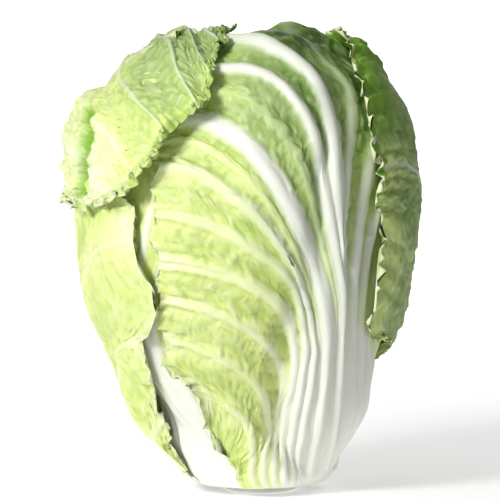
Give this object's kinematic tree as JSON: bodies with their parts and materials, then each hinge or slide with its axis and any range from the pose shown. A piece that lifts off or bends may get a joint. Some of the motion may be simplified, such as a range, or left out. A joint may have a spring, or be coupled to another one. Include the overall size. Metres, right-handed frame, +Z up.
{
  "type": "napa cabbage",
  "caption": "Head of napa cabbage, barrel type, standing on its cut stump, with overlapping ribbed wrapper leaves, a hooded left leaf and a frilled right leaf.",
  "frame": {"origin": "centre of the stump's flat cut face", "axes": "+Z up the head to its crown, -Y to the front leaf's side, +X to the head's right as seen from the front"},
  "size_m": [0.2003, 0.2033, 0.2607],
  "materials": {
    "stem": "cut white stump",
    "heart": "pale yellow young leaves",
    "front_leaf": "pale yellow-green blade with white ribs",
    "right_leaf": "mid-green crinkled blade",
    "left_leaf": "light yellow-green crinkled blade",
    "back_leaf": "mid-green blade",
    "inner_leaf_1": "smooth pale stalk and blade",
    "inner_leaf_2": "pale blade",
    "inner_leaf_3": "pale blade",
    "inner_leaf_4": "pale blade"
  },
  "bodies": {
    "root": {"stem": "stem", "heart": "heart", "front_leaf": "front_leaf", "right_leaf": "right_leaf", "left_leaf": "left_leaf", "back_leaf": "back_leaf", "inner_leaf_1": "inner_leaf_1", "inner_leaf_2": "inner_leaf_2", "inner_leaf_3": "inner_leaf_3", "inner_leaf_4": "inner_leaf_4"}
  },
  "joints": []
}
